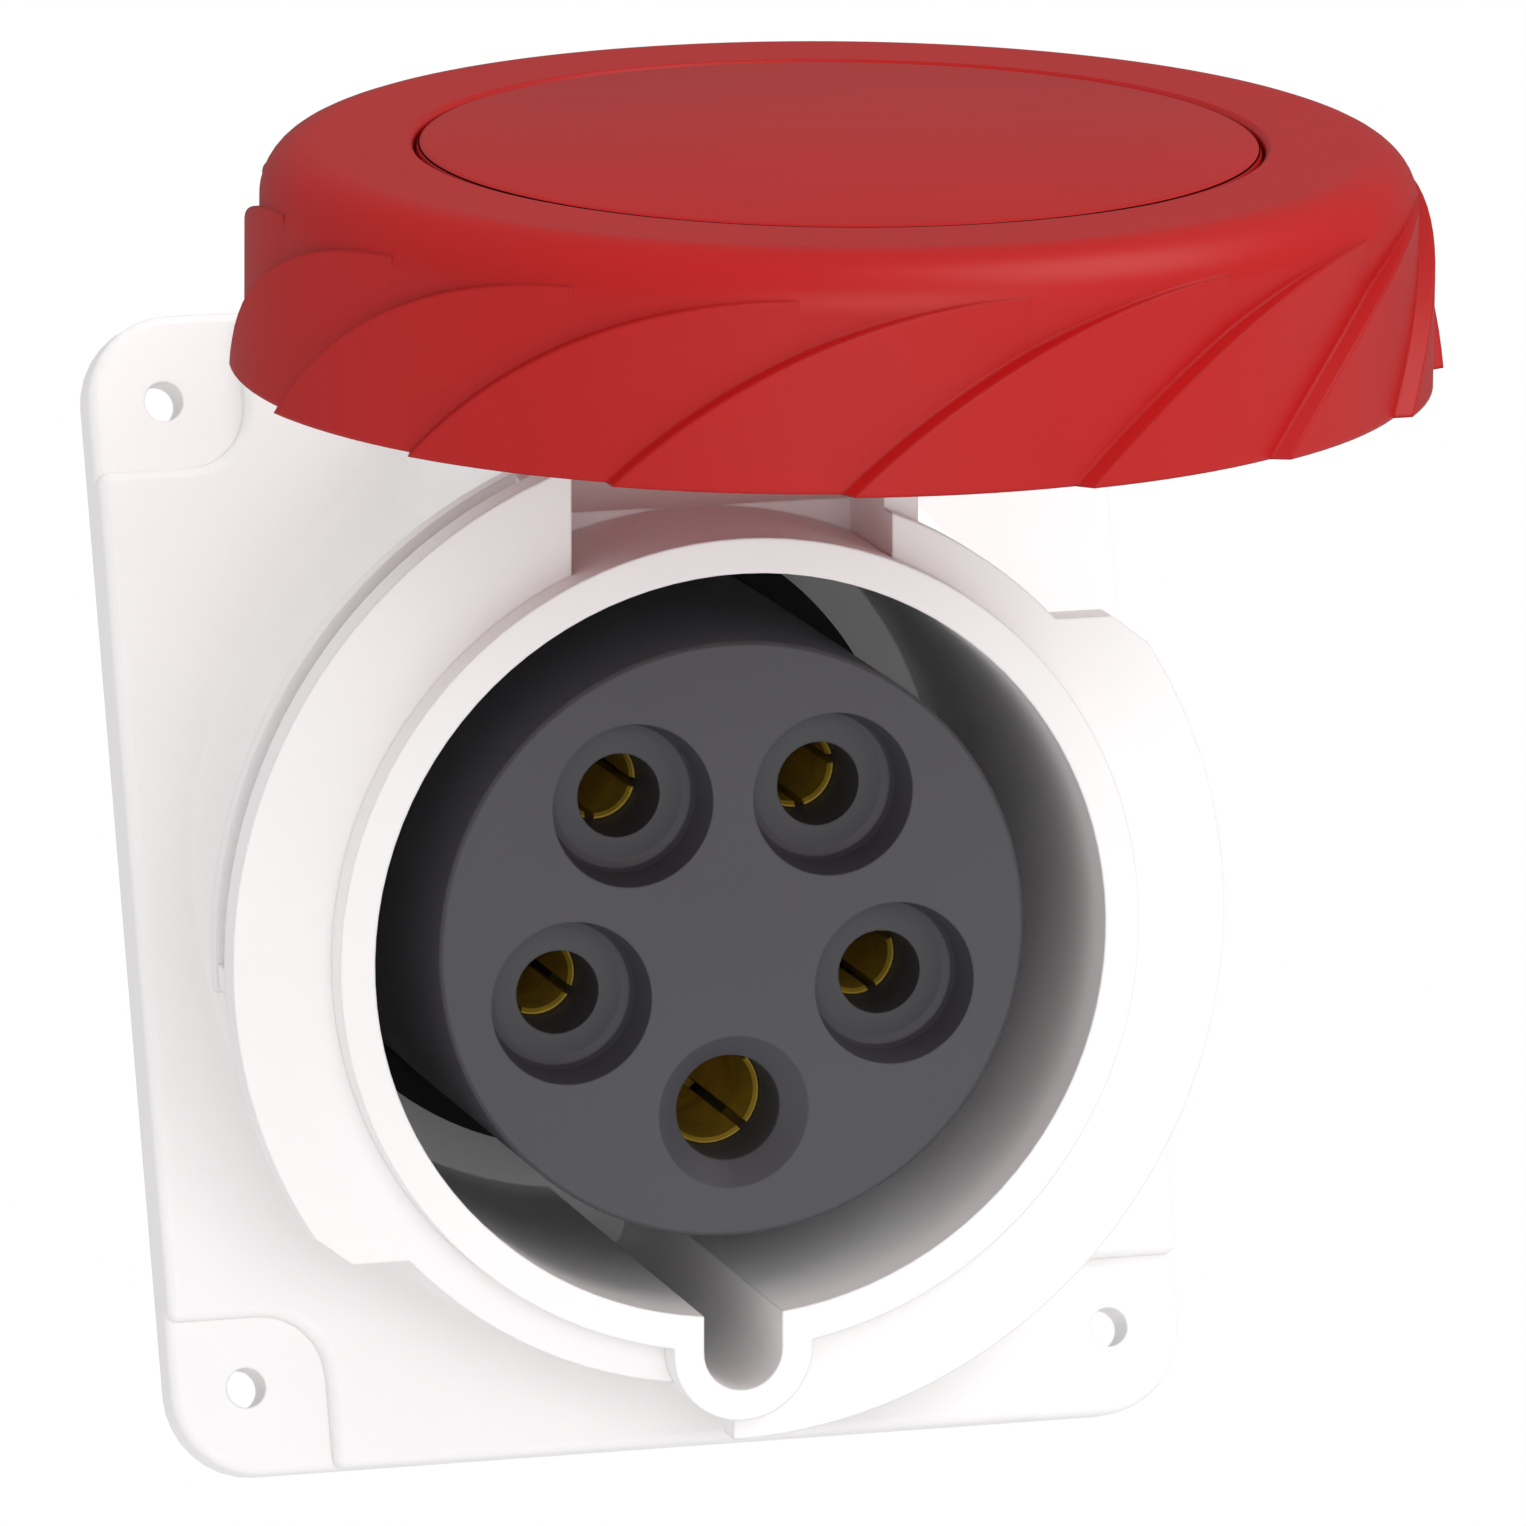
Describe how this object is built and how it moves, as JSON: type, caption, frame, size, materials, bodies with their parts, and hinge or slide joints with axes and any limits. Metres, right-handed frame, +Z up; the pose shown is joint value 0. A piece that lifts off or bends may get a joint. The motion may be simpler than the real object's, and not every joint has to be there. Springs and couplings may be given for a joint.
{
  "type": "industrial panel socket",
  "caption": "Angled industrial panel socket with a square flange, shrouded pin-and-sleeve insert, hinged watertight lid and turning bayonet ring.",
  "frame": {"origin": "centre of the fixing-hole pattern, on the flange's back face", "axes": "+Y into the panel, +Z up, +X to the right seen from the front; the socket's mouth looks forward (-Y) and down"},
  "size_m": [0.0984, 0.1751, 0.116],
  "materials": {
    "pale_plastic": "moulded, fine satin",
    "red_plastic": "moulded, fine satin",
    "dark_plastic": "moulded, matt",
    "seal_rubber": "moulded, matt",
    "contact_brass": "turned",
    "spring_steel": "rolled strip",
    "plated_steel": "zinc plated"
  },
  "bodies": {
    "housing": {"socket_housing": "pale_plastic", "panel_gasket": "seal_rubber", "contact_carrier": "dark_plastic", "carrier_seal": "seal_rubber", "terminal_block": "dark_plastic", "contact_l1": "contact_brass", "contact_l2": "contact_brass", "contact_l3": "contact_brass", "contact_neutral": "contact_brass", "contact_earth": "contact_brass", "spring_ring_l1": "spring_steel", "spring_ring_l2": "spring_steel", "spring_ring_l3": "spring_steel", "spring_ring_neutral": "spring_steel", "spring_ring_earth": "spring_steel", "terminal_screws": "plated_steel", "carrier_screws": "plated_steel", "hinge_pin": "plated_steel"},
    "lid": {"lid_body": "red_plastic", "lid_disc": "red_plastic", "lid_screws": "plated_steel", "lid_gasket": "seal_rubber"},
    "ring": {"bayonet_ring": "red_plastic"}
  },
  "joints": [
    {"name": "lid_hinge", "type": "hinge", "parent": "housing", "child": "lid", "pos_m": [0, -0.03027, 0.04174], "axis": [-1, 0, 0], "range_deg": [-88, 20]},
    {"name": "ring_turn", "type": "hinge", "parent": "lid", "child": "ring", "pos_m": [0, -0.08242, 0.04436], "axis": [0, 0.342, -0.9397], "range_deg": [0, 39]}
  ]
}
